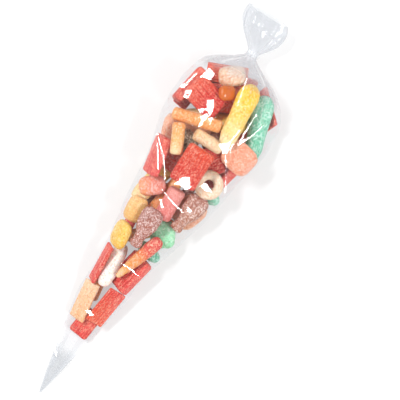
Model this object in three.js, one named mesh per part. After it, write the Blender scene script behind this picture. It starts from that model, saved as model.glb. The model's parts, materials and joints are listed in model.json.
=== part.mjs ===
import * as THREE from "three";

// A clear film cone of sugared gummy sweets, tied at its neck and lying on its side on a table.
// Millimetres, +Z up. The closed tip is at -X, the tied neck and the open frill are at +X.

// Film cone, as it lies filled
const CONE_LENGTH = 366;
const HEAD_WIDTH = 93;
const HEAD_HEIGHT = 62;
const FILM_WALL = 0.3;
const FILM_GAP = 0.5;
const NECK_STATION = 328;
const NECK_WIDTH = 11;
const NECK_HEIGHT = 17;
const NECK_LENGTH = 5.2;
const NECK_SHIFT = 2.6;
const FRILL_WIDTH = 43;
const FRILL_HEIGHT = 27;
const FRILL_LEAN = 6.5;
const PLEATS = 12;
const POINTS_PER_PLEAT = 4;

// Band round the neck
const TIE_WIDTH = 3.2;
const TIE_WALL = 0.9;
const TIE_GAP = 0.3;

// Sweets: length, width and thickness
const BRICK = [33, 23, 9];
const SHORT_BRICK = [24, 17, 9];
const BRICK_RIB = 1;
const BRICK_RIBS = 5;
const BELT = [34, 16, 3.4];
const STICK = [41, 11, 11];
const SHORT_STICK = [26, 11, 11];
const WORM = [48, 12, 11];
const THICK_STICK = [28, 15, 15];
const TONGUE = [39, 13, 9];
const BOTTLE = [36, 19, 10];
const FINGER = [54, 19, 11];
const SLAB = [28, 25, 9];
const BLOCK = [23, 21, 10];
const LUMP = [22, 17, 11];
const DROP = [15, 13, 9];
const RING_OUTER = 25;
const RING_HOLE = 8;
const RING_THICK = 9;
const SWEET_GAP = 0.28;

// Outline of the cone by share of the way from tip to neck: half width, crown and sideways shift
// as shares of the head's width, its height and its half width
const OUTLINE = [
  [0, 0.012, 0.035, 0],
  [0.06, 0.11, 0.07, 0.01],
  [0.15, 0.23, 0.17, 0.01],
  [0.25, 0.38, 0.36, 0.01],
  [0.33, 0.43, 0.45, 0],
  [0.42, 0.49, 0.55, -0.04],
  [0.52, 0.63, 0.69, -0.07],
  [0.61, 0.75, 0.82, -0.13],
  [0.7, 0.84, 0.92, -0.12],
  [0.79, 1, 1, -0.11],
  [0.87, 0.99, 0.98, -0.1],
  [0.92, 0.89, 0.9, -0.07],
  [0.95, 0.72, 0.78, -0.02],
  [0.97, 0.49, 0.65, 0],
];

// A smooth value between listed ones
function blend(rows, at, column) {
  let row = 0;
  while (row < rows.length - 2 && at > rows[row + 1][0]) row += 1;
  const [from, to] = [rows[row], rows[row + 1]];
  const before = rows[Math.max(row - 1, 0)];
  const after = rows[Math.min(row + 2, rows.length - 1)];
  const span = to[0] - from[0];
  const slopeFrom = (to[column] - before[column]) / (to[0] - before[0]);
  const slopeTo = (after[column] - from[column]) / (after[0] - from[0]);
  const t = Math.min(Math.max((at - from[0]) / span, 0), 1);
  const bulge = t * (1 - t) * ((1 - t) * (slopeFrom * span) - t * (slopeTo * span));
  const smooth = t * t * (3 - 2 * t);
  return from[column] * (1 - smooth) + to[column] * smooth + bulge;
}

// The cone's sections: station, half width, half height, height of the middle, sideways shift
const SECTIONS = OUTLINE.map(([share, width, crown, shift]) => {
  const top = crown * HEAD_HEIGHT;
  const lift = Math.max(share - 0.87, 0) / 0.1;
  const bottom = 1.5 * lift * lift;
  const halfHeight = (top - bottom) * 0.54;
  return [share * NECK_STATION, width * HEAD_WIDTH * 0.5, halfHeight, top - halfHeight, shift * HEAD_WIDTH * 0.5];
});
const FRILL_STATION = NECK_STATION + NECK_LENGTH;
const FRILL_LENGTH = CONE_LENGTH - FRILL_STATION;
for (const station of [NECK_STATION, FRILL_STATION]) {
  SECTIONS.push([station, NECK_WIDTH / 2, NECK_WIDTH / 2, NECK_HEIGHT, NECK_SHIFT]);
}
for (const [share, spread] of [[0.3, 0.7], [0.5, 0.9], [0.75, 1], [1, 0.9]]) {
  SECTIONS.push([
    FRILL_STATION + share * FRILL_LENGTH,
    (spread * FRILL_WIDTH) / 2,
    (spread * FRILL_HEIGHT) / 2,
    NECK_HEIGHT * (1 - 0.15 * share),
    NECK_SHIFT + share * FRILL_LEAN,
  ]);
}

function section(station) {
  const [half, rise, middle, shift] = [1, 2, 3, 4].map((column) => blend(SECTIONS, station, column));
  return { half, rise, middle, shift };
}

// Pleats grow over the shoulder, are tight at the neck and open into the frill
function pleatDepth(station) {
  const shoulder = THREE.MathUtils.smoothstep(station, NECK_STATION * 0.86, NECK_STATION);
  const frill = THREE.MathUtils.smoothstep(station, FRILL_STATION, CONE_LENGTH);
  return 0.13 * shoulder + 0.02 * frill;
}

function filmRing(station, inset) {
  const { half, rise, middle, shift } = section(station);
  const depth = pleatDepth(station);
  const ring = [];
  const count = PLEATS * POINTS_PER_PLEAT;
  for (let i = 0; i < count; i += 1) {
    const angle = (2 * Math.PI * i) / count;
    const wave = 1 - depth * (0.5 - 0.5 * Math.cos(PLEATS * angle));
    const y = shift + (half - inset) * wave * Math.cos(angle);
    const z = middle + (rise - inset) * wave * Math.sin(angle);
    ring.push(new THREE.Vector3(station, y, Math.max(z, inset)));
  }
  return ring;
}

function ringMiddle(ring) {
  const sum = new THREE.Vector3();
  for (const point of ring) sum.add(point);
  return sum.divideScalar(ring.length);
}

// A closed solid through rings of points, each ring counterclockwise as seen from the last one,
// closed by a fan at both ends
function loft(rings) {
  const positions = [];
  const count = rings[0].length;
  const face = (...corners) => corners.forEach((corner) => positions.push(corner.x, corner.y, corner.z));
  for (let k = 0; k < rings.length - 1; k += 1) {
    for (let i = 0; i < count; i += 1) {
      const j = (i + 1) % count;
      face(rings[k][i], rings[k][j], rings[k + 1][j]);
      face(rings[k][i], rings[k + 1][j], rings[k + 1][i]);
    }
  }
  const [first, last] = [rings[0], rings[rings.length - 1]];
  const [firstMiddle, lastMiddle] = [ringMiddle(first), ringMiddle(last)];
  for (let i = 0; i < count; i += 1) {
    const j = (i + 1) % count;
    face(firstMiddle, first[j], first[i]);
    face(lastMiddle, last[i], last[j]);
  }
  const geometry = new THREE.BufferGeometry();
  geometry.setAttribute("position", new THREE.Float32BufferAttribute(positions, 3));
  geometry.computeVertexNormals();
  return geometry;
}

// Film: out along the outside from tip to frill, then back along the inside to the inner tip
const BODY_STATIONS = [0, 0.02, 0.06, 0.12, 0.19, 0.26, 0.33, 0.4, 0.48, 0.56, 0.64, 0.71, 0.77, 0.82,
  0.865, 0.9, 0.925, 0.945, 0.963, 0.982, 1].map((share) => share * NECK_STATION);
const FRILL_STATIONS = [0, 0.16, 0.36, 0.58, 0.8, 1].map((share) => FRILL_STATION + share * FRILL_LENGTH);

function filmGeometry() {
  const stations = [...BODY_STATIONS, ...FRILL_STATIONS];
  const outer = stations.map((station) => filmRing(station, 0));
  const inner = stations.slice(2).map((station) => filmRing(station, FILM_WALL));
  return loft([...outer, ...inner.reverse()]);
}

// Shapes of the sweets. Each gives its surface, and the points and radius of a hull that holds it:
// everything within the radius of the points' hull.
function oval(halfWidth, halfThick, power, count = 12) {
  const outline = [];
  for (let i = 0; i < count; i += 1) {
    const angle = (2 * Math.PI * (i + 0.5)) / count;
    const [c, s] = [Math.cos(angle), Math.sin(angle)];
    outline.push([
      halfWidth * Math.sign(c) * Math.abs(c) ** (2 / power),
      halfThick * Math.sign(s) * Math.abs(s) ** (2 / power),
    ]);
  }
  return outline;
}

function boxPoints(x, halfWidths, z) {
  const points = [];
  for (const [i, y] of [-x, 0, x].map((at, index) => [at, halfWidths[index]])) {
    for (const j of [-y, y]) {
      for (const k of z > 0 ? [-z, z] : [0]) points.push(new THREE.Vector3(i, j, k));
    }
  }
  return points;
}

// A sweet through oval sections; each row is a share of the length, the width and the thickness
function ovalSweet([length, width, thick], rows, power = 2.3) {
  const rings = rows.map(([along, across, through]) => {
    const outline = oval((across * width) / 2, (through * thick) / 2, power);
    return outline.map(([y, z]) => new THREE.Vector3((along - 0.5) * length, y, z));
  });
  const radius = thick / 2;
  const halfWidths = [0, 0.5, 1].map((third) => {
    const near = rows.filter(([along]) => Math.abs(along - third) <= 0.25);
    return Math.max((Math.max(...near.map(([, across]) => across)) * width) / 2 - radius, 0.05);
  });
  return { geometry: loft(rings), points: boxPoints(length / 2 - radius * 0.85, halfWidths, 0), radius };
}

// A pressed sweet with ribs along its top
function ribbed([length, width, thick], ribs, rib) {
  const edge = thick * 0.16;
  const [y, z] = [width / 2, thick / 2];
  const outline = [[y, -z + edge], [y, z - edge]];
  const step = (2 * (y - edge)) / (2 * ribs);
  for (let i = 0; i <= 2 * ribs; i += 1) outline.push([y - edge - i * step, z - (i % 2 ? rib : 0)]);
  outline.push([-y, z - edge], [-y, -z + edge], [-y + edge, -z], [y - edge, -z]);
  const x = length / 2;
  const rings = [[-x, 1 - edge / y], [-x + edge, 1], [x - edge, 1], [x, 1 - edge / y]].map(([at, share]) =>
    outline.map(([across, up]) => new THREE.Vector3(at, across * share, up * (share < 1 ? 1 - edge / z : 1))),
  );
  const points = boxPoints(x - edge, [y - edge, y - edge, y - edge], z - edge);
  return { geometry: loft(rings), points, radius: edge };
}

// A round stick with cut ends
function stick([length, width]) {
  const [x, r] = [length / 2, width / 2];
  const edge = 2;
  const ends = [[x, r - edge], [x - edge * 0.3, r - edge * 0.32], [x - edge, r]];
  const rows = [...ends.map(([at, size]) => [-at, size]), ...ends.reverse()];
  const rings = rows.map(([at, size]) => oval(size, size, 2).map(([y, z]) => new THREE.Vector3(at, y, z)));
  const points = [-1, 1].flatMap((side) =>
    oval((r - edge) / 0.92, (r - edge) / 0.92, 2, 8).map(([y, z]) => new THREE.Vector3(side * (x - edge), y, z)),
  );
  return { geometry: loft(rings), points, radius: edge };
}

// A ring with a hole through it
function ring(outer, hole, thick) {
  const tube = (outer - hole) / 4;
  const middle = hole / 2 + tube;
  const geometry = new THREE.TorusGeometry(middle, tube, 8, 18);
  geometry.scale(1, 1, thick / 2 / tube);
  const radius = thick / 2;
  const reach = (outer / 2 - radius) / Math.cos(Math.PI / 10);
  const points = oval(reach, reach, 2, 10).map(([x, y]) => new THREE.Vector3(x, y, 0));
  return { geometry, points, radius };
}

const ROUND_ENDS = [[0, 0.42, 0.4], [0.045, 0.74, 0.74], [0.13, 0.93, 0.93], [0.27, 1, 1]];
const mirrored = (rows) => [...rows, ...rows.map(([along, ...rest]) => [1 - along, ...rest]).reverse()];
const BOTTLE_ROWS = [[0, 0.5, 0.45], [0.05, 0.82, 0.8], [0.15, 1, 1], [0.42, 0.97, 1], [0.56, 0.78, 0.95],
  [0.68, 0.52, 0.85], [0.84, 0.47, 0.8], [0.88, 0.58, 0.85], [0.97, 0.54, 0.8], [1, 0.36, 0.5]];
const WORM_ROWS = [[0, 0.2, 0.2], [0.04, 0.42, 0.42], [0.2, 0.62, 0.64], [0.45, 0.84, 0.86], [0.75, 1, 1],
  [0.92, 0.94, 0.94], [0.98, 0.66, 0.66], [1, 0.34, 0.34]];
const FINGER_ROWS = [[0, 0.34, 0.36], [0.04, 0.62, 0.7], [0.16, 0.8, 0.95], [0.4, 0.84, 1], [0.6, 0.9, 1],
  [0.78, 1, 1], [0.9, 0.88, 0.95], [0.97, 0.56, 0.7], [1, 0.28, 0.34]];
const PILLOW_ROWS = mirrored([[0, 0.46, 0.36], [0.06, 0.76, 0.66], [0.2, 0.96, 0.92], [0.4, 1, 1]]);

const SHAPES = {
  brick: () => ribbed(BRICK, BRICK_RIBS, BRICK_RIB),
  shortBrick: () => ribbed(SHORT_BRICK, BRICK_RIBS - 1, BRICK_RIB),
  belt: () => ribbed(BELT, BRICK_RIBS - 1, BELT[2] * 0.16),
  stick: () => stick(STICK),
  shortStick: () => stick(SHORT_STICK),
  thickStick: () => stick(THICK_STICK),
  worm: () => ovalSweet(WORM, WORM_ROWS),
  tongue: () => ovalSweet(TONGUE, mirrored(ROUND_ENDS)),
  bottle: () => ovalSweet(BOTTLE, BOTTLE_ROWS),
  finger: () => ovalSweet(FINGER, FINGER_ROWS),
  slab: () => ovalSweet(SLAB, PILLOW_ROWS, 3),
  block: () => ovalSweet(BLOCK, PILLOW_ROWS, 2.6),
  lump: () => ovalSweet(LUMP, PILLOW_ROWS),
  drop: () => ovalSweet(DROP, PILLOW_ROWS),
  ring: () => ring(RING_OUTER, RING_HOLE, RING_THICK),
};

const RED = 0xd83a34;
const DEEP_RED = 0xb3242a;
const CORAL = 0xe8694f;
const ORANGE = 0xf2973e;
const PALE_ORANGE = 0xf6bc7f;
const PEACH = 0xf4c9a6;
const CREAM = 0xf3e3c4;
const YELLOW = 0xf5c83a;
const PINK = 0xeb8f88;
const TEAL = 0x5fcfae;
const MINT = 0x9fdcc0;
const COLA = 0xa5674c;
const PLUM = 0x9a6670;

// Where each sweet lies before it settles: station, sideways place, depth under the film,
// then its turn on the table, its roll about its own length and its slope, in degrees
const SEEN = [
  ["brick_head_side", "brick", RED, 283, 31, 12, -14, 68, 0],
  ["brick_head_top", "brick", RED, 279, 17, 0, -104, 12, 8],
  ["brick_big", "brick", CORAL, 226, -5, 0, -33, 0, 0],
  ["brick_big_under", "brick", DEEP_RED, 236, -10, 12, -40, 10, 5],
  ["brick_left", "brick", RED, 217, 17, 9, -150, 60, 0],
  ["brick_low_side", "brick", RED, 108, -2, 6, -171, 10, 0],
  ["brick_low_flat", "shortBrick", RED, 80, -6, 3, -174, 24, 0],
  ["belt_head_left", "belt", RED, 281, 41, 16, -22, 72, 0],
  ["belt_head_right", "belt", RED, 297, -31, 4, -118, 55, 0],
  ["belt_head_top", "belt", CORAL, 301, 15, 6, -69, 20, 0],
  ["belt_shoulder", "belt", RED, 235, -39, 8, -20, 60, 0],
  ["belt_middle", "belt", DEEP_RED, 159, 20, 4, -168, 55, 0],
  ["belt_low", "belt", RED, 118, 13, 6, -158, 70, 0],
  ["belt_low_edge", "belt", RED, 84, -14, 5, -2, 58, 0],
  ["slab_head", "slab", PEACH, 252, -37, 2, -75, 0, 0],
  ["slab_neck", "lump", PEACH, 304, 6, 3, -52, 0, 0],
  ["wedge_head", "drop", ORANGE, 290, 3, 4, -57, 0, 0],
  ["finger_yellow", "finger", YELLOW, 279, -14, 0, 9, 0, 0],
  ["finger_teal", "finger", TEAL, 280, -36, 6, 33, 16, 0],
  ["stick_across", "stick", ORANGE, 258, 9, 4, -69, 0, 4],
  ["stick_left", "shortStick", PALE_ORANGE, 240, 20, 2, -150, 0, 0],
  ["stick_middle", "shortStick", CREAM, 249, -7, 7, -74, 0, 0],
  ["stick_pink", "thickStick", PINK, 188, -5, 4, 2, 0, -10],
  ["bottle_head", "bottle", PLUM, 242, 6, 8, -129, 0, 0],
  ["bottle_brown", "bottle", COLA, 194, -21, 5, 172, 0, 0],
  ["bottle_plum", "bottle", PLUM, 161, 1, 0, -176, 0, 0],
  ["ring_peach", "ring", PEACH, 220, -25, 3, 0, 0, 0],
  ["lump_pink_orange", "lump", ORANGE, 196, 12, 1, -22, 0, 0],
  ["lump_orange", "lump", PALE_ORANGE, 166, 13, 1, -167, 0, 0],
  ["block_yellow", "block", YELLOW, 143, 14, 0, -156, 0, 0],
  ["drop_orange", "drop", ORANGE, 124, 9, 12, 170, 0, 0],
  ["tongue_white", "tongue", CREAM, 125, -2, 1, -164, 0, 0],
  ["worm", "worm", ORANGE, 138, -14, -1, 9, 0, 0],
  ["block_mint", "block", MINT, 157, -19, 6, -147, 0, 0],
  ["stick_low_orange", "shortStick", ORANGE, 104, 12, 4, -177, 0, 0],
  ["belt_low_peach", "belt", PALE_ORANGE, 82, 11, 4, 4, -58, 0],
];

// Sweets underneath: station, sideways place and height over the table
const HIDDEN = [
  ["under_brick", "brick", RED, [[292, -8, 10], [262, -28, 8], [258, 12, 8], [220, -26, 8], [222, 12, 24], [284, 12, 30]]],
  ["under_bottle", "bottle", COLA, [[186, 12, 8], [246, -12, 26], [192, -24, 8], [270, 26, 26]]],
  ["under_finger", "finger", YELLOW, [[226, 0, 8], [262, -20, 20]]],
  ["under_stick", "stick", ORANGE, [[156, 2, 8], [286, -30, 24], [202, 0, 22]]],
  ["under_slab", "slab", PEACH, [[250, 6, 36], [172, -12, 10], [240, 28, 18]]],
  ["under_lump", "lump", TEAL, [[136, 6, 8], [214, -32, 24], [274, -34, 8]]],
];

function turned(turn, roll, slope) {
  const [z, x, y] = [turn, roll, slope].map((degrees) => (degrees * Math.PI) / 180);
  return new THREE.Quaternion().setFromEuler(new THREE.Euler(x, y, z, "ZYX"));
}

function makeSweet(name, shape, colour, place, turn) {
  const { geometry, points, radius } = SHAPES[shape]();
  const reach = Math.max(...points.map((point) => point.length())) + radius;
  return { name, shape, colour, geometry, points, radius, reach, place, turn, home: null, world: [] };
}

function makeSweets() {
  const sweets = SEEN.map(([name, shape, colour, station, across, depth, turn, roll, slope]) => {
    const { half, rise, middle, shift } = section(station);
    const aside = Math.min(Math.abs(across - shift) / half, 0.95);
    const top = middle + rise * Math.sqrt(1 - aside * aside);
    const place = new THREE.Vector3(station, across, Math.max(top - depth - 7, 6));
    const sweet = makeSweet(name, shape, colour, place, turned(turn, roll, slope));
    sweet.home = place.clone();
    sweet.homeTurn = sweet.turn.clone();
    return sweet;
  });
  for (const [name, shape, colour, places] of HIDDEN) {
    places.forEach(([station, across, height], index) => {
      const place = new THREE.Vector3(station, across, height);
      sweets.push(makeSweet(`${name}_${index + 1}`, shape, colour, place, turned(40 * index - 70, 0, 0)));
    });
  }
  return sweets;
}

// Nearest points of two hulls, found by stepping a small simplex of their difference to the origin
const difference = (a, b) => [a[0] - b[0], a[1] - b[1], a[2] - b[2]];
const dot = (a, b) => a[0] * b[0] + a[1] * b[1] + a[2] * b[2];
const cross = (a, b) => [a[1] * b[2] - a[2] * b[1], a[2] * b[0] - a[0] * b[2], a[0] * b[1] - a[1] * b[0]];

function farthest(points, direction) {
  let best = points[0];
  let most = dot(best, direction);
  for (let i = 1; i < points.length; i += 1) {
    const reach = dot(points[i], direction);
    if (reach > most) {
      most = reach;
      best = points[i];
    }
  }
  return best;
}

function nearestOnEdge([p, q]) {
  const along = difference(q.at, p.at);
  const share = Math.min(Math.max(-dot(p.at, along) / Math.max(dot(along, along), 1e-12), 0), 1);
  return [[p, 1 - share], [q, share]];
}

function nearestOnFace([p, q, r]) {
  const [pq, pr] = [difference(q.at, p.at), difference(r.at, p.at)];
  const [d1, d2] = [-dot(pq, p.at), -dot(pr, p.at)];
  const [d3, d4] = [-dot(pq, q.at), -dot(pr, q.at)];
  const [d5, d6] = [-dot(pq, r.at), -dot(pr, r.at)];
  const [inR, inQ, inP] = [d1 * d4 - d3 * d2, d5 * d2 - d1 * d6, d3 * d6 - d5 * d4];
  if (inP > 0 && inQ > 0 && inR > 0) {
    const sum = inP + inQ + inR;
    return [[p, inP / sum], [q, inQ / sum], [r, inR / sum]];
  }
  return shortest([[p, q], [q, r], [r, p]].map(nearestOnEdge));
}

function pointOf(weights) {
  const point = [0, 0, 0];
  for (const [corner, weight] of weights) {
    for (let i = 0; i < 3; i += 1) point[i] += corner.at[i] * weight;
  }
  return point;
}

function shortest(options) {
  let best = options[0];
  let least = Infinity;
  for (const option of options) {
    const point = pointOf(option);
    const size = dot(point, point);
    if (size < least) {
      least = size;
      best = option;
    }
  }
  return best;
}

function nearestOnSimplex(simplex) {
  if (simplex.length === 1) return [[simplex[0], 1]];
  if (simplex.length === 2) return nearestOnEdge(simplex);
  if (simplex.length === 3) return nearestOnFace(simplex);
  const faces = [[0, 1, 2, 3], [0, 2, 3, 1], [0, 3, 1, 2], [1, 3, 2, 0]];
  const open = [];
  for (const [i, j, k, other] of faces) {
    const [p, q, r] = [simplex[i], simplex[j], simplex[k]];
    const normal = cross(difference(q.at, p.at), difference(r.at, p.at));
    const side = dot(normal, difference(simplex[other].at, p.at));
    if (-dot(normal, p.at) * side <= 0) open.push(nearestOnFace([p, q, r]));
  }
  return open.length ? shortest(open) : null;
}

function nearestPoints(a, b, limit, start) {
  let direction = start;
  let simplex = [];
  let weights = null;
  for (let step = 0; step < 20; step += 1) {
    const onA = farthest(a, direction);
    const onB = farthest(b, [-direction[0], -direction[1], -direction[2]]);
    const at = difference(onA, onB);
    const size = Math.sqrt(dot(direction, direction));
    if (-dot(at, direction) / size > limit) return null;
    if (weights && dot(direction, at) + size * size < 1e-4 * size) break;
    simplex.push({ at, onA, onB });
    weights = nearestOnSimplex(simplex);
    if (!weights) return { touching: true };
    weights = weights.filter(([, weight]) => weight > 1e-9);
    simplex = weights.map(([corner]) => corner);
    const point = pointOf(weights);
    if (dot(point, point) < 1e-8) return { touching: true };
    direction = [-point[0], -point[1], -point[2]];
  }
  const [onA, onB] = ["onA", "onB"].map((key) => pointOf(weights.map(([corner, w]) => [{ at: corner[key] }, w])));
  return { onA, onB, direction };
}

function moveHull(sweet) {
  sweet.world = sweet.points.map((point) => {
    const moved = point.clone().applyQuaternion(sweet.turn).add(sweet.place);
    return [moved.x, moved.y, moved.z];
  });
}

// A push along a direction at a point: part of it moves the sweet, part of it turns it
function push(sweet, at, direction, amount) {
  const arm = new THREE.Vector3(...at).sub(sweet.place);
  const twist = arm.clone().cross(direction);
  const inertia = sweet.reach * sweet.reach * 0.3;
  const share = amount / (1 + twist.lengthSq() / inertia);
  sweet.place.addScaledVector(direction, share);
  const angle = (twist.length() * share) / inertia;
  if (angle > 1e-9) {
    sweet.turn.premultiply(new THREE.Quaternion().setFromAxisAngle(twist.normalize(), Math.min(angle, 0.1)));
    sweet.turn.normalize();
  }
  moveHull(sweet);
}

function partSweets(a, b, starts, key) {
  const reach = a.reach + b.reach + SWEET_GAP;
  if (a.place.distanceToSquared(b.place) > reach * reach) return 0;
  const wanted = a.radius + b.radius + SWEET_GAP;
  const apart = new THREE.Vector3().subVectors(b.place, a.place).normalize();
  const found = nearestPoints(a.world, b.world, wanted, starts.get(key) ?? apart.toArray());
  if (!found) return 0;
  if (found.touching) {
    starts.delete(key);
    a.place.addScaledVector(apart, -0.4);
    b.place.addScaledVector(apart, 0.4);
    moveHull(a);
    moveHull(b);
    return wanted;
  }
  starts.set(key, found.direction);
  const line = new THREE.Vector3(...difference(found.onB, found.onA));
  const short = wanted - line.length();
  if (short <= 0) return 0;
  line.normalize();
  push(a, found.onA, line, -short * 0.5);
  push(b, found.onB, line, short * 0.5);
  return short;
}

// How far out a point lies in its section: 1 on the film
function filmLevel(x, y, z) {
  const at = Math.min(Math.max(x, 0), NECK_STATION - 0.001);
  const [from, to] = [FILM_TABLE[Math.floor(at)], FILM_TABLE[Math.floor(at) + 1]];
  const between = (key) => from[key] + (to[key] - from[key]) * (at % 1);
  return Math.hypot((y - between("shift")) / between("half"), (z - between("middle")) / between("rise"));
}

// The room inside the film by the millimetre, less the depth of the pleats
const FILM_TABLE = Array.from({ length: NECK_STATION + 1 }, (_, station) => {
  const next = Math.max(BODY_STATIONS.findIndex((ring) => ring >= station), 1);
  const ends = [BODY_STATIONS[next - 1], BODY_STATIONS[next]];
  const share = (station - ends[0]) / (ends[1] - ends[0]);
  const [from, to] = ends.map((end) => {
    const { half, rise, middle, shift } = section(end);
    const clear = 1 - pleatDepth(end);
    return { half: (half - FILM_WALL) * clear, rise: (rise - FILM_WALL) * clear, middle, shift };
  });
  const between = (key) => from[key] + (to[key] - from[key]) * share;
  return { half: between("half"), rise: between("rise"), middle: between("middle"), shift: between("shift") };
});

function keepInFilm(sweet) {
  const margin = sweet.radius + FILM_GAP;
  for (let i = 0; i < sweet.world.length; i += 1) {
    const [x, y, z] = sweet.world[i];
    const level = filmLevel(x, y, z);
    const slope = new THREE.Vector3(
      (filmLevel(x + 2, y, z) - filmLevel(x - 2, y, z)) / 4,
      filmLevel(x, y + 0.5, z) - filmLevel(x, y - 0.5, z),
      filmLevel(x, y, z + 0.5) - filmLevel(x, y, z - 0.5),
    );
    const size = slope.length();
    const outside = (level - 1) / size + margin;
    if (level > 0.3 && outside > 0) push(sweet, sweet.world[i], slope.divideScalar(-size), Math.min(outside, 3));
    const under = FILM_WALL + margin - sweet.world[i][2];
    if (under > 0) push(sweet, sweet.world[i], new THREE.Vector3(0, 0, 1), under);
  }
}

function partAll(sweets, starts) {
  let worst = 0;
  for (let i = 0; i < sweets.length; i += 1) {
    for (let j = i + 1; j < sweets.length; j += 1) {
      worst = Math.max(worst, partSweets(sweets[i], sweets[j], starts, i * 100 + j));
    }
  }
  sweets.forEach(keepInFilm);
  return worst;
}

// The sweets sink onto each other, the seen ones held near their places, until none overlap
function settle(sweets) {
  const starts = new Map();
  const passes = 450;
  sweets.forEach(moveHull);
  for (let pass = 0; pass < passes; pass += 1) {
    const force = Math.max(1 - pass / (passes * 0.7), 0.06);
    for (const sweet of sweets) {
      sweet.place.z -= 0.25 * force;
      if (sweet.home) {
        sweet.place.x += (sweet.home.x - sweet.place.x) * 0.1 * force;
        sweet.place.y += (sweet.home.y - sweet.place.y) * 0.1 * force;
        sweet.turn.slerp(sweet.homeTurn, 0.1 * force);
      }
      moveHull(sweet);
    }
    partAll(sweets, starts);
    partAll(sweets, starts);
  }
  for (let round = 0; round < 600 && partAll(sweets, starts) > SWEET_GAP * 0.3; round += 1);
}

function tieGeometry() {
  const inner = NECK_WIDTH / 2 + TIE_GAP;
  const [from, to] = [-TIE_WIDTH / 2, TIE_WIDTH / 2];
  const profile = [[inner, from], [inner + TIE_WALL, from], [inner + TIE_WALL, to], [inner, to], [inner, from]];
  const geometry = new THREE.LatheGeometry(profile.map(([radius, along]) => new THREE.Vector2(radius, along)), 32);
  geometry.rotateZ(-Math.PI / 2);
  return geometry;
}

function addPiece(group, name, geometry, colour, roughness) {
  const mesh = new THREE.Mesh(geometry, new THREE.MeshStandardMaterial({ color: colour, roughness, metalness: 0 }));
  mesh.name = name;
  group.add(mesh);
  return mesh;
}

// Stations run from the tip inside this group, which the middle of the film's bounds centres
const contents = new THREE.Group();
const film = addPiece(contents, "film_cone", filmGeometry(), 0xf1f4f6, 0.15);
const tie = addPiece(contents, "neck_tie", tieGeometry(), 0xe9edf0, 0.3);
tie.position.set(NECK_STATION + NECK_LENGTH / 2, NECK_SHIFT, NECK_HEIGHT);
const sweets = makeSweets();
settle(sweets);
for (const sweet of sweets) {
  const mesh = addPiece(contents, sweet.name, sweet.geometry, sweet.colour, 0.7);
  mesh.position.copy(sweet.place);
  mesh.quaternion.copy(sweet.turn);
}
film.geometry.computeBoundingBox();
const middle = film.geometry.boundingBox.getCenter(new THREE.Vector3());
contents.position.set(-middle.x, -middle.y, 0);

const cone = new THREE.Group();
cone.add(contents);
export default cone;
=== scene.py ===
import json
import math
import random

import bpy
import numpy as np
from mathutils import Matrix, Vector
from mathutils.bvhtree import BVHTree
from mathutils.geometry import delaunay_2d_cdt

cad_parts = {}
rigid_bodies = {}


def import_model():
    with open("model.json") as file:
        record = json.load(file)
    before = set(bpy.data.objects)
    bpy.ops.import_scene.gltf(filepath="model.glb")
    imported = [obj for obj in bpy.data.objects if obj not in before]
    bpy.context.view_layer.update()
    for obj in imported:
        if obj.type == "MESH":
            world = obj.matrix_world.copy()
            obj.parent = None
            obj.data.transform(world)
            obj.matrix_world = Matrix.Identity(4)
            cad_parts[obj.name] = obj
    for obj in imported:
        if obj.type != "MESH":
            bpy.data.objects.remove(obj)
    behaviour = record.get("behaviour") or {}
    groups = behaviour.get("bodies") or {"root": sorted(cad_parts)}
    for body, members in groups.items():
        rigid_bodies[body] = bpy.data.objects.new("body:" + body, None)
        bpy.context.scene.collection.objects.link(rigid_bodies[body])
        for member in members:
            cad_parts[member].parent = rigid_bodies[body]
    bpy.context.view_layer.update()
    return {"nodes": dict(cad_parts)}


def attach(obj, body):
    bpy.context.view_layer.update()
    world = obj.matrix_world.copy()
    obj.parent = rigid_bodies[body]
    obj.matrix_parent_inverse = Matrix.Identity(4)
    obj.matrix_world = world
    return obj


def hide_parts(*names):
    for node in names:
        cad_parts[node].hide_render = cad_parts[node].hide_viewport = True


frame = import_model()
bpy.ops.object.select_all(action="DESELECT")
MM = 0.001

# Studio: a pale table, one long soft lamp on each side of the cone and an even pale room. The camera
# looks straight down, turned so that the cone's tip points to the lower left of the picture.
# The table shows white to the camera and keeps the soft shadow under the cone.
CAMERA_PLACE = Vector((24.1, -20.9, 1030)) * MM
CAMERA_TURN = math.radians(-57.333)
camera_data = bpy.data.cameras.new("camera")
camera_data.lens = 111
camera_data.sensor_width = 36
camera_data.clip_start = 0.01
camera_data.clip_end = 20
camera = bpy.data.objects.new("camera", camera_data)
camera.location = CAMERA_PLACE
camera.rotation_euler = (0, 0, CAMERA_TURN)
bpy.context.scene.collection.objects.link(camera)
bpy.context.scene.camera = camera
bpy.context.scene.view_settings.view_transform = "Standard"

LEFT_LAMP = Vector((60, 640, 1100)) * MM
RIGHT_LAMP = Vector((60, -760, 1040)) * MM


def soft_lamp(name, place, width, length, watts):
    data = bpy.data.lights.new(name, "AREA")
    data.shape = "RECTANGLE"
    data.size = length
    data.size_y = width
    data.energy = watts
    lamp = bpy.data.objects.new(name, data)
    lamp.location = place
    lamp.rotation_euler = (-place).to_track_quat("-Z", "Y").to_euler()
    bpy.context.scene.collection.objects.link(lamp)


soft_lamp("left_lamp", LEFT_LAMP, width=0.12, length=0.4, watts=10.4)
soft_lamp("right_lamp", RIGHT_LAMP, width=0.1, length=0.4, watts=7.6)

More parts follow.
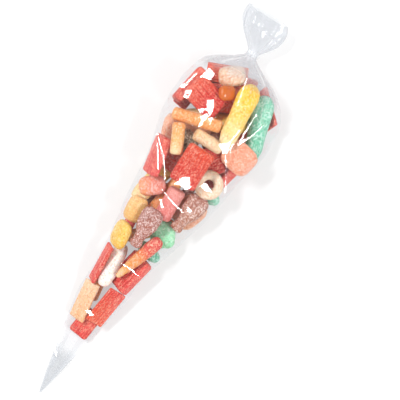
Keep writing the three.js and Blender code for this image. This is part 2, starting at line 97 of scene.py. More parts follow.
ROOM_SIDES = 1.25
ROOM_CEILING = 0.3
world = bpy.data.worlds.new("room")
world.use_nodes = True
bpy.context.scene.world = world
tree = world.node_tree
background = tree.nodes["Background"]
background.inputs["Color"].default_value = (1, 1, 1, 1)
direction = tree.nodes.new("ShaderNodeSeparateXYZ")
tree.links.new(tree.nodes.new("ShaderNodeTexCoord").outputs["Generated"], direction.inputs["Vector"])
level = tree.nodes.new("ShaderNodeMapRange")
level.inputs["From Min"].default_value = 0.15
level.inputs["From Max"].default_value = 0.8
level.inputs["To Min"].default_value = ROOM_SIDES
level.inputs["To Max"].default_value = ROOM_CEILING
tree.links.new(direction.outputs["Z"], level.inputs["Value"])
seen = tree.nodes.new("ShaderNodeMath")
seen.operation = "MAXIMUM"
tree.links.new(level.outputs["Result"], seen.inputs[0])
tree.links.new(tree.nodes.new("ShaderNodeLightPath").outputs["Is Camera Ray"], seen.inputs[1])
tree.links.new(seen.outputs["Value"], background.inputs["Strength"])

TABLE_GLOW = 0.45
bpy.ops.mesh.primitive_plane_add(size=6)
table = bpy.context.object
table.name = "table"
table_finish = bpy.data.materials.new("table_finish")
table_finish.use_nodes = True
tree = table_finish.node_tree
tree.nodes.remove(tree.nodes["Principled BSDF"])
matt = tree.nodes.new("ShaderNodeBsdfDiffuse")
matt.inputs["Color"].default_value = (0.5, 0.5, 0.5, 1)
glow = tree.nodes.new("ShaderNodeEmission")
path = tree.nodes.new("ShaderNodeLightPath")
seen = tree.nodes.new("ShaderNodeMath")
seen.operation = "MAXIMUM"
tree.links.new(path.outputs["Is Camera Ray"], seen.inputs[0])
tree.links.new(path.outputs["Is Glossy Ray"], seen.inputs[1])
also = tree.nodes.new("ShaderNodeMath")
also.operation = "MAXIMUM"
tree.links.new(seen.outputs["Value"], also.inputs[0])
tree.links.new(path.outputs["Is Transmission Ray"], also.inputs[1])
lift = tree.nodes.new("ShaderNodeMath")
lift.operation = "MULTIPLY"
lift.inputs[1].default_value = TABLE_GLOW
tree.links.new(also.outputs["Value"], lift.inputs[0])
tree.links.new(lift.outputs["Value"], glow.inputs["Strength"])
total = tree.nodes.new("ShaderNodeAddShader")
tree.links.new(matt.outputs["BSDF"], total.inputs[0])
tree.links.new(glow.outputs["Emission"], total.inputs[1])
tree.links.new(total.outputs["Shader"], tree.nodes["Material Output"].inputs["Surface"])
table.data.materials.append(table_finish)
bpy.ops.object.select_all(action="DESELECT")


# Pressed bricks: soft sweets pressed in a ribbed mould, cut to length and rolled in fine sour sugar.
# The skin is grained with sugar, the grooves are darkened with painted shade by their depth, and the red
# shifts a little along each brick. Each one follows its solid, worked over as one soft skin.
def linear(text):
    values = [int(text[i:i + 2], 16) / 255 for i in (0, 2, 4)]
    return [v / 12.92 if v <= 0.04045 else ((v + 0.055) / 1.055) ** 2.4 for v in values] + [1]


def activate(piece):
    bpy.ops.object.select_all(action="DESELECT")
    piece.select_set(True)
    bpy.context.view_layer.objects.active = piece


def merged_copy(node, name):
    piece = bpy.data.objects.new(name, frame["nodes"][node].data.copy())
    bpy.context.scene.collection.objects.link(piece)
    piece.data.materials.clear()
    activate(piece)
    bpy.ops.object.mode_set(mode="EDIT")
    bpy.ops.mesh.select_all(action="SELECT")
    bpy.ops.mesh.remove_doubles(threshold=1e-6)
    bpy.ops.mesh.customdata_custom_splitnormals_clear()
    bpy.ops.object.mode_set(mode="OBJECT")
    return piece


def apply_modifier(piece, kind, **settings):
    modifier = piece.modifiers.new(kind.lower(), kind)
    for key, value in settings.items():
        setattr(modifier, key, value)
    bpy.ops.object.modifier_apply(modifier=modifier.name)


def grain_texture(name, kind, size):
    texture = bpy.data.textures.new(name, kind)
    texture.noise_scale = size
    return texture


SUGAR_RELIEF = grain_texture("sugar_relief", "VORONOI", 0.9 * MM)
SOFT_RELIEF = grain_texture("soft_relief", "CLOUDS", 5 * MM)
GROOVE_PITCH = 2.3 * MM
GROOVE_DEPTH = 0.5 * MM


def own_axes(piece):
    """Each point of the piece along its length, pointing to the head, then its width and its thickness."""
    points = np.empty(len(piece.data.vertices) * 3)
    piece.data.vertices.foreach_get("co", points)
    points = points.reshape(-1, 3)
    points = points - points.mean(0)
    axes = np.linalg.svd(points, full_matrices=False)[2]
    axes[0] *= np.sign(axes[0][0])
    return points @ axes.T, axes


def add_value(piece, name, values):
    attribute = piece.data.attributes.new(name, "FLOAT", "POINT")
    attribute.data.foreach_set("value", values.astype(np.float32))


def gummy(node, voxel, softness, relief, lumps, groove=0):
    """A soft sweet made from its solid: one even skin, rounded, with lumps and grains of sugar."""
    piece = merged_copy(node, "gummy_" + node)
    apply_modifier(piece, "REMESH", mode="VOXEL", voxel_size=voxel)
    apply_modifier(piece, "SMOOTH", factor=0.5, iterations=softness)
    own, axes = own_axes(piece)
    if groove:
        depth = 0.5 - 0.5 * np.cos(math.tau * own[:, 1] / GROOVE_PITCH)
        for v, cut in zip(piece.data.vertices, depth):
            v.co -= v.normal * float(cut * abs(v.normal.dot(Vector(axes[2])))) * groove
    if lumps:
        apply_modifier(piece, "DISPLACE", texture=SOFT_RELIEF, texture_coords="LOCAL", strength=lumps,
                       mid_level=0.6)
    if relief:
        apply_modifier(piece, "DISPLACE", texture=SUGAR_RELIEF, texture_coords="LOCAL", strength=relief,
                       mid_level=0.6)
    add_value(piece, "along", (own[:, 0] - own[:, 0].min()) / np.ptp(own[:, 0]))
    add_value(piece, "groove", depth if groove else own[:, 0] * 0)
    for polygon in piece.data.polygons:
        polygon.use_smooth = True
    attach(piece, "root")
    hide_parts(node)
    return piece


def ramp(tree, source, stops):
    node = tree.nodes.new("ShaderNodeValToRGB")
    elements = node.color_ramp.elements
    while len(elements) < len(stops):
        elements.new(0.5)
    for element, (place, colour) in zip(elements, stops):
        element.position = place
        element.color = colour if isinstance(colour, (list, tuple)) else (colour, colour, colour, 1)
    tree.links.new(source, node.inputs["Fac"])
    return node.outputs["Color"]


def mixed(tree, share, first, second, blend="MIX"):
    node = tree.nodes.new("ShaderNodeMix")
    node.data_type = "RGBA"
    node.blend_type = blend
    for name, value in (("Factor", share), ("A", first), ("B", second)):
        if hasattr(value, "is_linked"):
            tree.links.new(value, node.inputs[name])
        else:
            node.inputs[name].default_value = value
    return node.outputs["Result"]


def gummy_finish(name, colours, sugar, cover, crystal, deep=None, gloss=0.55):
    """Soft gum, coloured along its length, under sugar crystals of one size that cover a share of it."""
    finish = bpy.data.materials.new(name)
    finish.use_nodes = True
    tree = finish.node_tree
    shader = tree.nodes["Principled BSDF"]
    place = tree.nodes.new("ShaderNodeTexCoord").outputs["Object"]
    along = tree.nodes.new("ShaderNodeAttribute")
    along.attribute_name = "along"
    stops = [(i / max(len(colours) - 1, 1), linear(colour)) for i, colour in enumerate(colours)]
    wander = tree.nodes.new("ShaderNodeTexNoise")
    wander.inputs["Scale"].default_value = 1 / (7 * MM)
    tree.links.new(place, wander.inputs["Vector"])
    shift = tree.nodes.new("ShaderNodeMath")
    shift.operation = "MULTIPLY_ADD"
    shift.inputs[1].default_value = 0.5
    tree.links.new(wander.outputs["Fac"], shift.inputs[0])
    lower = tree.nodes.new("ShaderNodeMath")
    lower.operation = "SUBTRACT"
    lower.inputs[1].default_value = 0.25
    tree.links.new(along.outputs["Fac"], lower.inputs[0])
    tree.links.new(lower.outputs["Value"], shift.inputs[2])
    body = ramp(tree, shift.outputs["Value"], stops)
    crystals = tree.nodes.new("ShaderNodeTexVoronoi")
    crystals.inputs["Scale"].default_value = 1 / crystal
    tree.links.new(place, crystals.inputs["Vector"])
    split = tree.nodes.new("ShaderNodeSeparateColor")
    tree.links.new(crystals.outputs["Color"], split.inputs["Color"])
    # The deeper gum colour set here tints random bare cells between the sugar crystals and is also painted
    # shade in the grooves.
    groove_shade_and_gap_tone = linear(deep) if deep else mixed(tree, 1.0, body, (0.82, 0.5, 0.4, 1), "MULTIPLY")
    groove_shade_mask = tree.nodes.new("ShaderNodeAttribute")
    groove_shade_mask.attribute_name = "groove"
    # Painted shade: the grooves of a pressed brick are darkened according to their depth, taken from the
    # groove attribute.
    body = mixed(tree, ramp(tree, groove_shade_mask.outputs["Fac"], [(0.3, 0), (0.8, 0.95)]), body, groove_shade_and_gap_tone)
    if cover:
        gaps = ramp(tree, split.outputs["Green"], [(0, 0.8 if deep else 0.6), (0.4, 0)])
        body = mixed(tree, gaps, body, groove_shade_and_gap_tone)
        bare_to = max(1 - cover - 0.25, 0)
        dusted_from = min(1 - cover + 0.25, 1)
        dusted = ramp(tree, split.outputs["Red"], [(bare_to, 0), (dusted_from, 0.9)])
        worn = tree.nodes.new("ShaderNodeTexNoise")
        worn.inputs["Scale"].default_value = 1 / (4 * MM)
        tree.links.new(place, worn.inputs["Vector"])
        patches = ramp(tree, worn.outputs["Fac"], [(0.3, 0.35), (0.65, 1)])
        share = mixed(tree, 1.0, dusted, patches, "MULTIPLY")
        body = mixed(tree, share, body, linear(sugar))
    tree.links.new(body, shader.inputs["Base Color"])
    bump = tree.nodes.new("ShaderNodeBump")
    bump.inputs["Strength"].default_value = 0.6 if cover else 0.15
    bump.inputs["Distance"].default_value = crystal * 0.3
    bump.invert = True
    tree.links.new(crystals.outputs["Distance"], bump.inputs["Height"])
    tree.links.new(bump.outputs["Normal"], shader.inputs["Normal"])
    shader.inputs["Roughness"].default_value = gloss
    shader.inputs["Subsurface Weight"].default_value = 0.2
    shader.inputs["Subsurface Radius"].default_value = (1.0, 0.5, 0.35)
    shader.inputs["Subsurface Scale"].default_value = 2 * MM
    return finish


def finished(piece, finish):
    piece.data.materials.append(finish)
    return piece


SEEN_VOXEL = 0.62 * MM
HIDDEN_VOXEL = 1.1 * MM
SUGAR_HEIGHT = 0.35 * MM
LUMPS = 0.5 * MM
BRICK_COLOURS = {
    "brick_head_side": ["d0301c", "e0422c", "e85c44"],
    "brick_head_top": ["dc3230", "e03a32", "e85028"],
    "brick_big": ["d63628", "d8381c", "e0460a"],
    "brick_big_under": ["cc2014", "d22618", "d2261a"],
    "brick_left": ["e23e3c", "e44e46", "e65a4a"],
    "brick_low_side": ["e23630", "e4423a", "e64c40"],
    "brick_low_flat": ["e2342c", "e6483a", "e8543e"],
    "belt_head_left": ["d83a26", "e2462c", "e85840"],
    "belt_head_right": ["e0342c", "e23a30", "e84e36"],
    "belt_head_top": ["e85a34", "ea663c", "ec7846"],
    "belt_shoulder": ["e64846", "e85042", "e85042"],
    "belt_middle": ["d42a28", "da322e", "e04032"],
    "belt_low": ["e43a34", "e6443c", "ea5442"],
    "belt_low_edge": ["ea5a26", "e84e2c", "e44234"],
}
for node, colours in BRICK_COLOURS.items():
    brick = gummy(node, SEEN_VOXEL, softness=2, relief=SUGAR_HEIGHT, lumps=0, groove=GROOVE_DEPTH)
    finish = gummy_finish(node + "_gum", colours, sugar="f2a086", cover=0.3, crystal=0.9 * MM)
    finished(brick, finish)

# Round sticks: extruded soft sticks with cut ends, dusted with fine sugar. The left one fades from
# orange to cream, the middle one is pale and the pink one lies bare against the film.
STICK_COLOURS = {
    "stick_across": (["ee9a4c", "ec9c50", "eda25c"], "f6cfa4", 0.3, "gummy_orange"),
    "stick_left": (["f2d3a0", "eeb468", "e99444"], "f7dcb8", 0.3, "gummy_pale_orange"),
    "stick_middle": (["f0c48c", "f3d8ae", "f2cfa2"], "f8e8cc", 0.3, "gummy_cream"),
    "stick_pink": (["e2746c", "e48078", "e79c90"], "f2b8b0", 0.25, "gummy_pink"),
    "stick_low_orange": (["f0a668", "ee9c5c", "ea8440"], "f6cba6", 0.3, "gummy_orange"),
}
for node, (colours, sugar, cover, slot) in STICK_COLOURS.items():
    stick = gummy(node, SEEN_VOXEL, softness=6, relief=SUGAR_HEIGHT * 0.6, lumps=LUMPS)
    finished(stick, gummy_finish(node + "_gum", colours, sugar, cover, crystal=1.0 * MM))

# Bottles: two-sided moulded bottles of brown gum under coarse sugar, so dense that they look
# grey and pink with brown showing through.
BOTTLE_COLOURS = {
    "bottle_head": (["5a5238", "6a5a40", "a89078"], "f6ecdc", "2c2a1c", "gummy_plum"),
    "bottle_brown": (["b0603a", "ac6848", "a45c48"], "fae8de", "7a3420", "gummy_cola"),
    "bottle_plum": (["ac5c44", "ac6450", "a46456"], "fae4de", "7c382c", "gummy_plum"),
}
for node, (colours, sugar, deep, slot) in BOTTLE_COLOURS.items():
    bottle = gummy(node, SEEN_VOXEL, softness=4, relief=SUGAR_HEIGHT * 0.5, lumps=LUMPS * 0.5)
    finish = gummy_finish(node + "_gum", colours, sugar, cover=0.36, crystal=0.7 * MM, deep=deep)
    finished(bottle, finish)

# Long fingers, the worm and the tongue: poured in starch moulds, so round on top with soft ends.
# The yellow finger fades to cream and the worm runs from pale yellow to red.
LONG_COLOURS = {
    "finger_yellow": (["fae2b0", "fad070", "fac838", "fcca20"], "fdeab0", 0.25, "gummy_yellow"),
    "finger_teal": (["58b892", "62c29c", "6cc8a4", "84d0b0"], "cdeee0", 0.5, "gummy_teal"),
    "worm": (["f3cc94", "eeaa58", "ea8a44", "df4a3c", "d8403e"], "f5c8a8", 0.35, "gummy_orange"),
    "tongue_white": (["fbf0e2", "fcf2e6", "fdf3e8"], "ffffff", 0.35, "gummy_cream"),
}
for node, (colours, sugar, cover, slot) in LONG_COLOURS.items():
    long_sweet = gummy(node, SEEN_VOXEL, softness=6, relief=SUGAR_HEIGHT * 0.7, lumps=LUMPS)
    finished(long_sweet, gummy_finish(node + "_gum", colours, sugar, cover, crystal=1.1 * MM))

# Chunks: slabs, blocks, drops, lumps and the ring, poured and dusted. The orange wedge and drop are
# clear gum with almost no sugar, so they are deep in colour and glossy.
CHUNK_COLOURS = {
    "slab_head": (["e88e6a", "ea9874", "eca080"], "f4c8b0", 0.35, "gummy_peach"),
    "slab_neck": (["f0c094", "f0c8a4", "f2d2b4"], "f9ecdc", 0.4, "gummy_peach"),
    "wedge_head": (["d06a1c", "cf651a", "d0701e"], "e8a050", 0.0, "gummy_orange"),
    "ring_peach": (["f0cba6", "f2d2b0", "f3d8b8"], "faeedc", 0.4, "gummy_peach"),
    "lump_pink_orange": (["eb9c62", "ea8c72", "e88c84"], "f5c8bc", 0.4, "gummy_orange"),
    "lump_orange": (["e8b060", "eab86c", "eabc78"], "f4d8a8", 0.15, "gummy_pale_orange"),
    "block_yellow": (["f0bc38", "f1c044", "f3c654"], "f9e09a", 0.35, "gummy_yellow"),
    "drop_orange": (["dc8030", "dc7e2e", "dd8434"], "ecae6a", 0.0, "gummy_orange"),
    "block_mint": (["8cdca4", "98e0b0", "a4e2b8"], "d4f4dc", 0.2, "gummy_mint"),
    "belt_low_peach": (["f0b884", "f0c090", "f2c89c"], "f7dcc0", 0.25, "gummy_pale_orange"),
}
for node, (colours, sugar, cover, slot) in CHUNK_COLOURS.items():
    relief = SUGAR_HEIGHT * 0.8 if cover else 0
    gloss = 0.45 if cover else 0.2
    chunk = gummy(node, SEEN_VOXEL, softness=5, relief=relief, lumps=LUMPS)
    finished(chunk, gummy_finish(node + "_gum", colours, sugar, cover, crystal=1.2 * MM, gloss=gloss))

# Sweets underneath: the same poured and pressed kinds of gum, dusted like the upper ones. They fill the
# cone under the upper layer and show between its sweets and through the film at the sides.
UNDER_COLOURS = {
    "under_brick": (["d63a34", "dc4c38", "e0603c"], "f3b0a4", 0.4, 1.15, "gummy_red"),
    "under_bottle": (["a4603c", "96584a", "8c5248"], "dcb9ae", 0.45, 1.6, "gummy_cola"),
    "under_finger": (["f2d9a6", "f0c45c", "f2c23c"], "f8e6b4", 0.3, 1.1, "gummy_yellow"),
    "under_stick": (["ee9c50", "ec9648", "eca25c"], "f6cfa4", 0.3, 1.0, "gummy_orange"),
    "under_slab": (["e8a27c", "eca884", "efb694"], "f6d4bc", 0.35, 1.2, "gummy_peach"),
    "under_lump": (["58b892", "62c29c", "84d0b0"], "cdeee0", 0.45, 1.2, "gummy_teal"),
}
for node in sorted(frame["nodes"]):
    kind = node.rstrip("0123456789").rstrip("_")
    if kind in UNDER_COLOURS:
        colours, sugar, cover, crystal, slot = UNDER_COLOURS[kind]
        under = gummy(node, HIDDEN_VOXEL, softness=2, relief=SUGAR_HEIGHT, lumps=0)
        finished(under, gummy_finish(node + "_gum", colours, sugar, cover, crystal * MM))

# Film: one clear sheet, rolled into a cone, filled, gathered at the neck and left open as a frill.
# It is the solid's outer wall alone, drawn in onto the sweets, then crumpled into flat facets.
# Clear plastic: it passes most light, mirrors the lamps and whitens towards its edges.
sweets = [o for o in bpy.context.scene.objects if o.name.startswith("gummy_")]


def tree_of(pieces):
    corners = []
    faces = []
    for piece in pieces:
        start = len(corners)
        corners.extend(v.co.copy() for v in piece.data.vertices)
        faces.extend([start + i for i in p.vertices] for p in piece.data.polygons)
    return BVHTree.FromPolygons(corners, faces)


def points_of(piece):
    points = np.empty(len(piece.data.vertices) * 3)
    piece.data.vertices.foreach_get("co", points)
    return points.reshape(-1, 3)


END_MARGIN = 0.01 * MM
FULL_RING = 40
film = merged_copy("film_cone", "clear_film")
mouth = max(v.co.x for v in film.data.vertices) - END_MARGIN
tip = min(v.co.x for v in film.data.vertices) + END_MARGIN
rings = {}
for v in film.data.vertices:
    rings.setdefault(round(v.co.x / MM, 2), []).append(v.co.copy())
stations = sorted(x for x in rings if len(rings[x]) > FULL_RING)
middles = [
    [(min(c[k] for c in rings[x]) + max(c[k] for c in rings[x])) / 2 for k in (1, 2)]
    for x in stations
]
heights = [(max(c.z for c in rings[x]) - min(c.z for c in rings[x])) / 2 for x in stations]
bpy.ops.object.mode_set(mode="EDIT")
bpy.ops.mesh.select_all(action="DESELECT")
bpy.ops.object.mode_set(mode="OBJECT")
for polygon in film.data.polygons:
    polygon.select = all(film.data.vertices[i].co.x > mouth for i in polygon.vertices)
bpy.ops.object.mode_set(mode="EDIT")
bpy.ops.mesh.select_mode(type="FACE")
bpy.ops.mesh.delete(type="ONLY_FACE")
bpy.ops.object.mode_set(mode="OBJECT")
for polygon in film.data.polygons:
    polygon.select = any(film.data.vertices[i].co.x < tip for i in polygon.vertices)
bpy.ops.object.mode_set(mode="EDIT")
bpy.ops.mesh.select_linked()
bpy.ops.mesh.select_all(action="INVERT")
bpy.ops.mesh.delete(type="VERT")
bpy.ops.mesh.select_all(action="SELECT")
bpy.ops.mesh.tris_convert_to_quads(face_threshold=math.pi, shape_threshold=math.pi)
bpy.ops.object.mode_set(mode="OBJECT")

RING_STEP = 5.2 * MM
AT_RING_MM = 0.02
for lower, upper in zip(stations[:-1], stations[1:]):
    cuts = int((upper - lower) * MM / RING_STEP)
    if not cuts:
        continue
    bpy.ops.object.mode_set(mode="EDIT")
    bpy.ops.mesh.select_mode(type="EDGE")
    bpy.ops.mesh.select_all(action="DESELECT")
    bpy.ops.object.mode_set(mode="OBJECT")
    for edge in film.data.edges:
        ends = sorted(film.data.vertices[i].co.x / MM for i in edge.vertices)
        edge.select = abs(ends[0] - lower) < AT_RING_MM and abs(ends[1] - upper) < AT_RING_MM
    bpy.ops.object.mode_set(mode="EDIT")
    bpy.ops.mesh.subdivide(number_cuts=cuts)
    bpy.ops.object.mode_set(mode="OBJECT")
apply_modifier(film, "SUBSURF", levels=2, render_levels=2)

points = points_of(film)
middle = np.stack([np.interp(points[:, 0] / MM, stations, [m[k] for m in middles]) for k in (0, 1)], 1)
height = np.interp(points[:, 0] / MM, stations, heights)
out = points[:, 1:] - middle
reach = np.linalg.norm(out, axis=1)
out = out / np.maximum(reach, 1e-9)[:, None]
rise = (points[:, 2] - middle[:, 1]) / np.maximum(height, 1e-6)
edges = np.array([e.vertices[:] for e in film.data.edges])
joined = np.bincount(edges.ravel(), minlength=len(points))


def neighbours(values):
    total = np.bincount(edges[:, 0], values[edges[:, 1]], len(values))
    total += np.bincount(edges[:, 1], values[edges[:, 0]], len(values))
    return total / joined


# The sheet is drawn in until it lies on the highest sweets, and sags a little between them. Only its
# upper side is drawn in, and that grows from DRAWN_FROM of the half height over DRAWN_OVER of it.
CLEAR = 0.7 * MM
DRAW_IN = 4 * MM
SAG = 0.002 * MM
START_OUTSIDE = 1 * MM
DRAWN_FROM = 0.1
DRAWN_OVER = 0.5
SETTLING_ROUNDS = 400
sweet_tree = tree_of(sweets)
room = np.full(len(points), DRAW_IN)
for i, (point, side) in enumerate(zip(points, out)):
    inward = Vector((0, -side[0], -side[1]))
    hit = sweet_tree.ray_cast(Vector(point) - inward * START_OUTSIDE, inward, reach[i])
    if hit[0] is not None:
        room[i] = hit[3] - START_OUTSIDE - CLEAR
upper = np.clip((rise - DRAWN_FROM) / DRAWN_OVER, 0, 1)
room = np.clip(np.minimum(room, DRAW_IN * upper), 0, None)
drawn = np.zeros(len(points))
for _ in range(SETTLING_ROUNDS):
    drawn = np.minimum(room, neighbours(drawn) + SAG)
points[:, 1:] -= out * drawn[:, None]

# Flat facets between sharp creases, long in the cone's direction, from a net of random corners.
random.seed(7)
SHEET = 35 * MM
SHEET_START = -0.19
SHEET_LENGTH = 0.37
SCATTER = 0.45
FACETS = [(20 * MM, 13 * MM, 0.9 * MM), (9 * MM, 6 * MM, 0.25 * MM)]


def facet_heights(around, along, step_along, step_round, depth):
    """How far out each place lies on a sheet of flat facets between corners at random heights."""
    corners = []
    levels = []
    for i in range(-2, int(SHEET_LENGTH / step_along) + 3):
        for j in range(-2, int(math.tau * SHEET / step_round) + 3):
            corners.append(Vector((
                SHEET_START + (i + random.uniform(-SCATTER, SCATTER)) * step_along,
                -math.pi * SHEET + (j + random.uniform(-SCATTER, SCATTER)) * step_round,
            )))
            levels.append(random.uniform(-depth, depth))
    net = delaunay_2d_cdt(corners, [], [], 0, 1e-6)
    sheet = [Vector((c.x, c.y, levels[net[3][k][0]])) for k, c in enumerate(net[0])]
    sheet_tree = BVHTree.FromPolygons(sheet, net[2])
    down = Vector((0, 0, -1))
    return np.array([sheet_tree.ray_cast(Vector((x, a, 0.1)), down)[0].z for x, a in zip(along, around)])


# The sheet stays flat where it lies on the table, creases less where the cone is narrow, and is squeezed
# smooth under the tie.
FLAT_BELOW = 1 * MM
FLAT_FADE = 6 * MM
WIDE_REACH = 14 * MM
NARROW_SHARE = 0.15
TIE_MARGIN = 1 * MM
TIE_FADE = 5 * MM
TIE_SQUEEZE = 0.7 * MM
SQUEEZE_FADE = 4 * MM
around = np.arctan2(out[:, 0], out[:, 1]) * SHEET
free = np.clip((points[:, 2] - FLAT_BELOW) / FLAT_FADE, 0, 1)
crumple = np.zeros(len(points))
for step_along, step_round, depth in FACETS:
    crumple += facet_heights(around, points[:, 0], step_along, step_round, depth)
tie_places = [v.co.x for v in frame["nodes"]["neck_tie"].data.vertices]
past_tie = np.maximum(min(tie_places) - points[:, 0], points[:, 0] - max(tie_places))
crumple *= free * np.clip(reach / WIDE_REACH, NARROW_SHARE, 1)
crumple *= np.clip((past_tie - TIE_MARGIN) / TIE_FADE, 0, 1)
squeeze = TIE_SQUEEZE * np.clip(1 - past_tie / SQUEEZE_FADE, 0, 1)
points[:, 1:] += out * (crumple - squeeze)[:, None]
film.data.vertices.foreach_set("co", points.ravel())

# Flat facets and narrow folds that catch a lamp, by their corners in the photograph's pixels: each
# patch of the sheet is pressed flat at the tilt that mirrors the nearer lamp to the camera.
IMAGE_WIDTH = 400
FACETS_SEEN = [
    [(199.7, 76.7), (210.4, 66.5), (215.5, 75.2), (210.4, 80.3)],
    [(179.3, 86.4), (188, 81.3), (190, 84), (180.8, 89.5)],
    [(185.4, 88.5), (193, 89.5), (189, 98.2), (182.9, 98.7)],
    [(205.8, 99.7), (215, 98.7), (214.5, 107.9), (210.4, 118), (206.3, 108.9)],
    [(207.9, 118), (214.5, 117), (209.4, 124.2)],
    [(217, 144), (231, 142), (227, 158), (224.5, 158)],
    [(171.8, 185), (183.3, 175.8), (190.2, 177.6), (192.5, 187.9), (186.8, 190.8), (179.9, 185.6)],
    [(187.3, 206.3), (194.8, 212.6), (185.6, 212.6)],
    [(159.2, 196.5), (162.7, 200.5), (163.2, 209.7), (160.4, 207.4)],
    [(84, 310), (90, 310), (96, 315.7), (90, 316)],
    [(199, 186), (206, 183), (214, 193), (206, 192)],
]
FOLDS_SEEN = [
    [(247, 78), (242, 92), (237, 107)],
    [(257, 114), (248, 128), (240, 141)],
    [(157.3, 132), (158.4, 170)],
    [(158, 136), (163.3, 156.7), (165.5, 181)],
    [(162, 189), (171, 201), (183, 213)],
    [(121, 262.5), (130.5, 269.4), (139.7, 277.4)],
    [(237, 145), (250, 137.5), (264.5, 125)],
    [(186, 83), (197, 73.5)],
    [(225.5, 155), (226, 172), (225, 194)],
    [(54.2, 347), (56.7, 356.5)],
    [(59.8, 341), (63, 334)],
]
FOLD_WIDTH = 2
PATCH_EDGE = 0.6 * MM
PATCH_LIFT = 0.2 * MM
PATCH_REACH = 12 * MM
PATCH_MARGIN = 1.5 * MM
PATCH_CUTS = 2
RAISED_SHARE = 0.6


def sight(pixel):
    """The direction in which the camera sees a pixel of the photograph."""
    scale = camera_data.sensor_width / camera_data.lens / IMAGE_WIDTH
    aim = Vector(((pixel[0] - IMAGE_WIDTH / 2) * scale, (IMAGE_WIDTH / 2 - pixel[1]) * scale, -1))
    return (camera.rotation_euler.to_matrix() @ aim).normalized()


def widened(line):
    """The outline of a narrow fold that follows a line."""
    sides = []
    for sign in (1, -1):
        for a, b in zip(line[:-1], line[1:]):
            run = Vector((b[0] - a[0], b[1] - a[1])).normalized() * FOLD_WIDTH / 2 * sign
            sides.append([(a[0] - run.y, a[1] + run.x), (b[0] - run.y, b[1] + run.x)])
    half = len(sides) // 2
    return [corner for side in sides[:half] for corner in side] + \
        [corner for side in reversed(sides[half:]) for corner in reversed(side)]


def outside_by(at, corners):
    """How far each place lies outside a patch, 0 within it."""
    inside = np.zeros(len(at), bool)
    nearest = np.full(len(at), 1e9)
    for a, b in zip(corners, corners[1:] + corners[:1]):
        a, b = np.array(a), np.array(b)
        crosses = (a[1] > at[:, 1]) != (b[1] > at[:, 1])
        level = (at[:, 1] - a[1]) / (b[1] - a[1] if abs(b[1] - a[1]) > 1e-12 else 1e-12)
        inside ^= crosses & (at[:, 0] < a[0] + level * (b[0] - a[0]))
        share = np.clip((at - a) @ (b - a) / ((b - a) @ (b - a)), 0, 1)
        nearest = np.minimum(nearest, np.linalg.norm(at - a - share[:, None] * (b - a), axis=1))
    nearest[inside] = 0
    return nearest


def film_surface():
    corners = [v.co for v in film.data.vertices]
    faces = [list(p.vertices) for p in film.data.polygons]
    return BVHTree.FromPolygons(corners, faces)


def laid_on(surface, pixels):
    """Where the middle of a patch meets the film, the film's slope there, and the corners at that height."""
    middle_pixel = [sum(pixel[k] for pixel in pixels) / len(pixels) for k in (0, 1)]
    hit, slope, _, _ = surface.ray_cast(CAMERA_PLACE, sight(middle_pixel))
    corners = [CAMERA_PLACE + sight(p) * ((hit.z - CAMERA_PLACE.z) / sight(p).z) for p in pixels]
    return hit, slope, [(corner.x, corner.y) for corner in corners]


def upper_apart(places, hit, corners):
    """How far each place lies outside a patch on the film's upper side."""
    apart = outside_by(places[:, :2], corners)
    apart[places[:, 2] < hit.z - PATCH_REACH] = 1
    return apart


def press_patch(surface, points, pixels):
    """Moves the points of one patch onto the flat that mirrors a lamp, a little above the sheet."""
    hit, slope, corners = laid_on(surface, pixels)
    tilts = [((CAMERA_PLACE - hit).normalized() + (lamp - hit).normalized()).normalized()
             for lamp in (LEFT_LAMP, RIGHT_LAMP)]
    tilt = max(tilts, key=lambda t: t.dot(slope))
    apart = upper_apart(points, hit, corners)
    share = np.clip(1 - apart / PATCH_EDGE, 0, 1)
    share = share * share * (3 - 2 * share)
    flat = hit.z - ((points[:, :2] - np.array(hit)[:2]) @ np.array(tilt)[:2]) / tilt.z
    within = apart <= 0
    if within.any():
        flat += max((points[within, 2] - flat[within]).max() * RAISED_SHARE, 0) + PATCH_LIFT
    points[:, 2] += share * (flat - points[:, 2])


# The sheet gets a finer net round the patches, and then they are pressed.
patches = FACETS_SEEN + [widened(line) for line in FOLDS_SEEN]
surface = film_surface()
centres = np.array([p.center for p in film.data.polygons])
near_patch = np.zeros(len(centres), bool)
for pixels in patches:
    hit, _, corners = laid_on(surface, pixels)
    near_patch |= upper_apart(centres, hit, corners) < PATCH_MARGIN
activate(film)
bpy.ops.object.mode_set(mode="EDIT")
bpy.ops.mesh.select_mode(type="FACE")
bpy.ops.mesh.select_all(action="DESELECT")
bpy.ops.object.mode_set(mode="OBJECT")
for polygon, chosen in zip(film.data.polygons, near_patch):
    polygon.select = bool(chosen)
bpy.ops.object.mode_set(mode="EDIT")
bpy.ops.mesh.subdivide(number_cuts=PATCH_CUTS)
bpy.ops.object.mode_set(mode="OBJECT")
surface = film_surface()
points = points_of(film)
for pixels in patches:
    press_patch(surface, points, pixels)
film.data.vertices.foreach_set("co", points.ravel())

# Where a facet would cut a sweet, the sheet is lifted clear of it, and none of it goes under the table.
# Faces that still cross a sweet are then moved outwards in a few small steps.
LIFTED_CLEAR = 0.6 * MM
LIFT_STEP = 0.3 * MM
LIFT_ROUNDS = 4
for v in film.data.vertices:
    near, normal, _, distance = sweet_tree.find_nearest(v.co)
    inside = (v.co - near).dot(normal) < 0
    if inside or distance < LIFTED_CLEAR:
        v.co = near + normal * LIFTED_CLEAR
    v.co.z = max(v.co.z, 0)
film.data.update()
for _ in range(LIFT_ROUNDS):
    crossed = {pair[0] for pair in film_surface().overlap(sweet_tree)}
    for i in sorted({i for face in crossed for i in film.data.polygons[face].vertices}):
        v = film.data.vertices[i]
        v.co += v.normal * LIFT_STEP
    film.data.update()

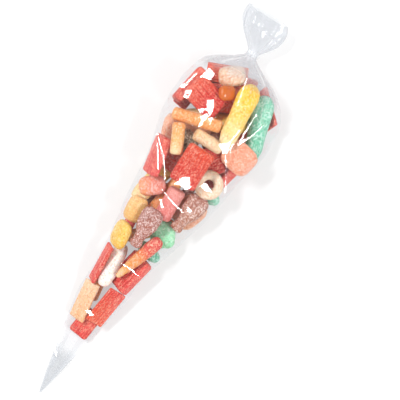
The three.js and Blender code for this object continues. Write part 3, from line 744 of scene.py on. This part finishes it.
# The empty tip, the neck and the frill are folded over themselves, so they let less light through.
# The places are in mm along the cone, from its tip at -183 to the frill at 183.
GATHERED_AT = [-183, -150, -138, 118, 128, 183]
GATHERED_SHARE = [1, 0.9, 0, 0, 1, 0.9]
stretches = points_of(film)[:, 0] / MM
add_value(film, "gathered", np.interp(stretches, GATHERED_AT, GATHERED_SHARE))
activate(film)
bpy.ops.object.shade_smooth()

film_finish = bpy.data.materials.new("clear_film_finish")
film_finish.use_nodes = True
tree = film_finish.node_tree
tree.nodes.remove(tree.nodes["Principled BSDF"])
clear = tree.nodes.new("ShaderNodeBsdfTransparent")
gathered = tree.nodes.new("ShaderNodeAttribute")
gathered.attribute_name = "gathered"
tint = mixed(tree, gathered.outputs["Fac"], (0.965, 0.97, 0.977, 1), (0.895, 0.905, 0.92, 1))
tree.links.new(tint, clear.inputs["Color"])
mirror = tree.nodes.new("ShaderNodeBsdfGlossy")
mirror.inputs["Color"].default_value = (1, 1, 1, 1)
mirror.inputs["Roughness"].default_value = 0.07
crinkle = tree.nodes.new("ShaderNodeTexNoise")
crinkle.inputs["Scale"].default_value = 1 / (4 * MM)
tree.links.new(tree.nodes.new("ShaderNodeTexCoord").outputs["Object"], crinkle.inputs["Vector"])
bump = tree.nodes.new("ShaderNodeBump")
bump.inputs["Strength"].default_value = 0.5
bump.inputs["Distance"].default_value = 0.1 * MM
tree.links.new(crinkle.outputs["Fac"], bump.inputs["Height"])
tree.links.new(bump.outputs["Normal"], mirror.inputs["Normal"])
milky = tree.nodes.new("ShaderNodeBsdfDiffuse")
milky.inputs["Color"].default_value = (0.73, 0.75, 0.78, 1)
facing = tree.nodes.new("ShaderNodeLayerWeight")
facing.inputs["Blend"].default_value = 0.5
steep = tree.nodes.new("ShaderNodeMath")
steep.operation = "POWER"
steep.inputs[1].default_value = 4
tree.links.new(facing.outputs["Facing"], steep.inputs[0])
share = tree.nodes.new("ShaderNodeMapRange")
share.inputs["To Min"].default_value = 0.035
share.inputs["To Max"].default_value = 0.85
tree.links.new(steep.outputs["Value"], share.inputs["Value"])
haze = tree.nodes.new("ShaderNodeMixShader")
folded = tree.nodes.new("ShaderNodeMapRange")
folded.inputs["To Min"].default_value = 0.015
folded.inputs["To Max"].default_value = 0.32
tree.links.new(gathered.outputs["Fac"], folded.inputs["Value"])
tree.links.new(folded.outputs["Result"], haze.inputs["Fac"])
tree.links.new(clear.outputs["BSDF"], haze.inputs[1])
tree.links.new(milky.outputs["BSDF"], haze.inputs[2])
skin = tree.nodes.new("ShaderNodeMixShader")
tree.links.new(share.outputs["Result"], skin.inputs["Fac"])
tree.links.new(haze.outputs["Shader"], skin.inputs[1])
tree.links.new(mirror.outputs["BSDF"], skin.inputs[2])
tree.links.new(skin.outputs["Shader"], tree.nodes["Material Output"].inputs["Surface"])
film.data.materials.append(film_finish)
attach(film, "root")
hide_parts("film_cone")

# Neck tie: a narrow band of clear plastic, wound tightly round the gathered film to close the cone.
# It is the solid's own ring, nearly clear, so it shows only as a faint rippled edge.
tie_finish = bpy.data.materials.new("tie_finish")
tie_finish.use_nodes = True
tree = tie_finish.node_tree
shader = tree.nodes["Principled BSDF"]
shader.inputs["Base Color"].default_value = (0.9, 0.93, 0.96, 1)
shader.inputs["Roughness"].default_value = 0.2
shader.inputs["Alpha"].default_value = 0.12
ripple = tree.nodes.new("ShaderNodeTexNoise")
ripple.inputs["Scale"].default_value = 1 / (2 * MM)
tree.links.new(tree.nodes.new("ShaderNodeTexCoord").outputs["Object"], ripple.inputs["Vector"])
bump = tree.nodes.new("ShaderNodeBump")
bump.inputs["Strength"].default_value = 0.3
bump.inputs["Distance"].default_value = 0.2 * MM
tree.links.new(ripple.outputs["Fac"], bump.inputs["Height"])
tree.links.new(bump.outputs["Normal"], shader.inputs["Normal"])
tie = frame["nodes"]["neck_tie"]
tie.data.materials.clear()
tie.data.materials.append(tie_finish)

bpy.ops.object.select_all(action="DESELECT")
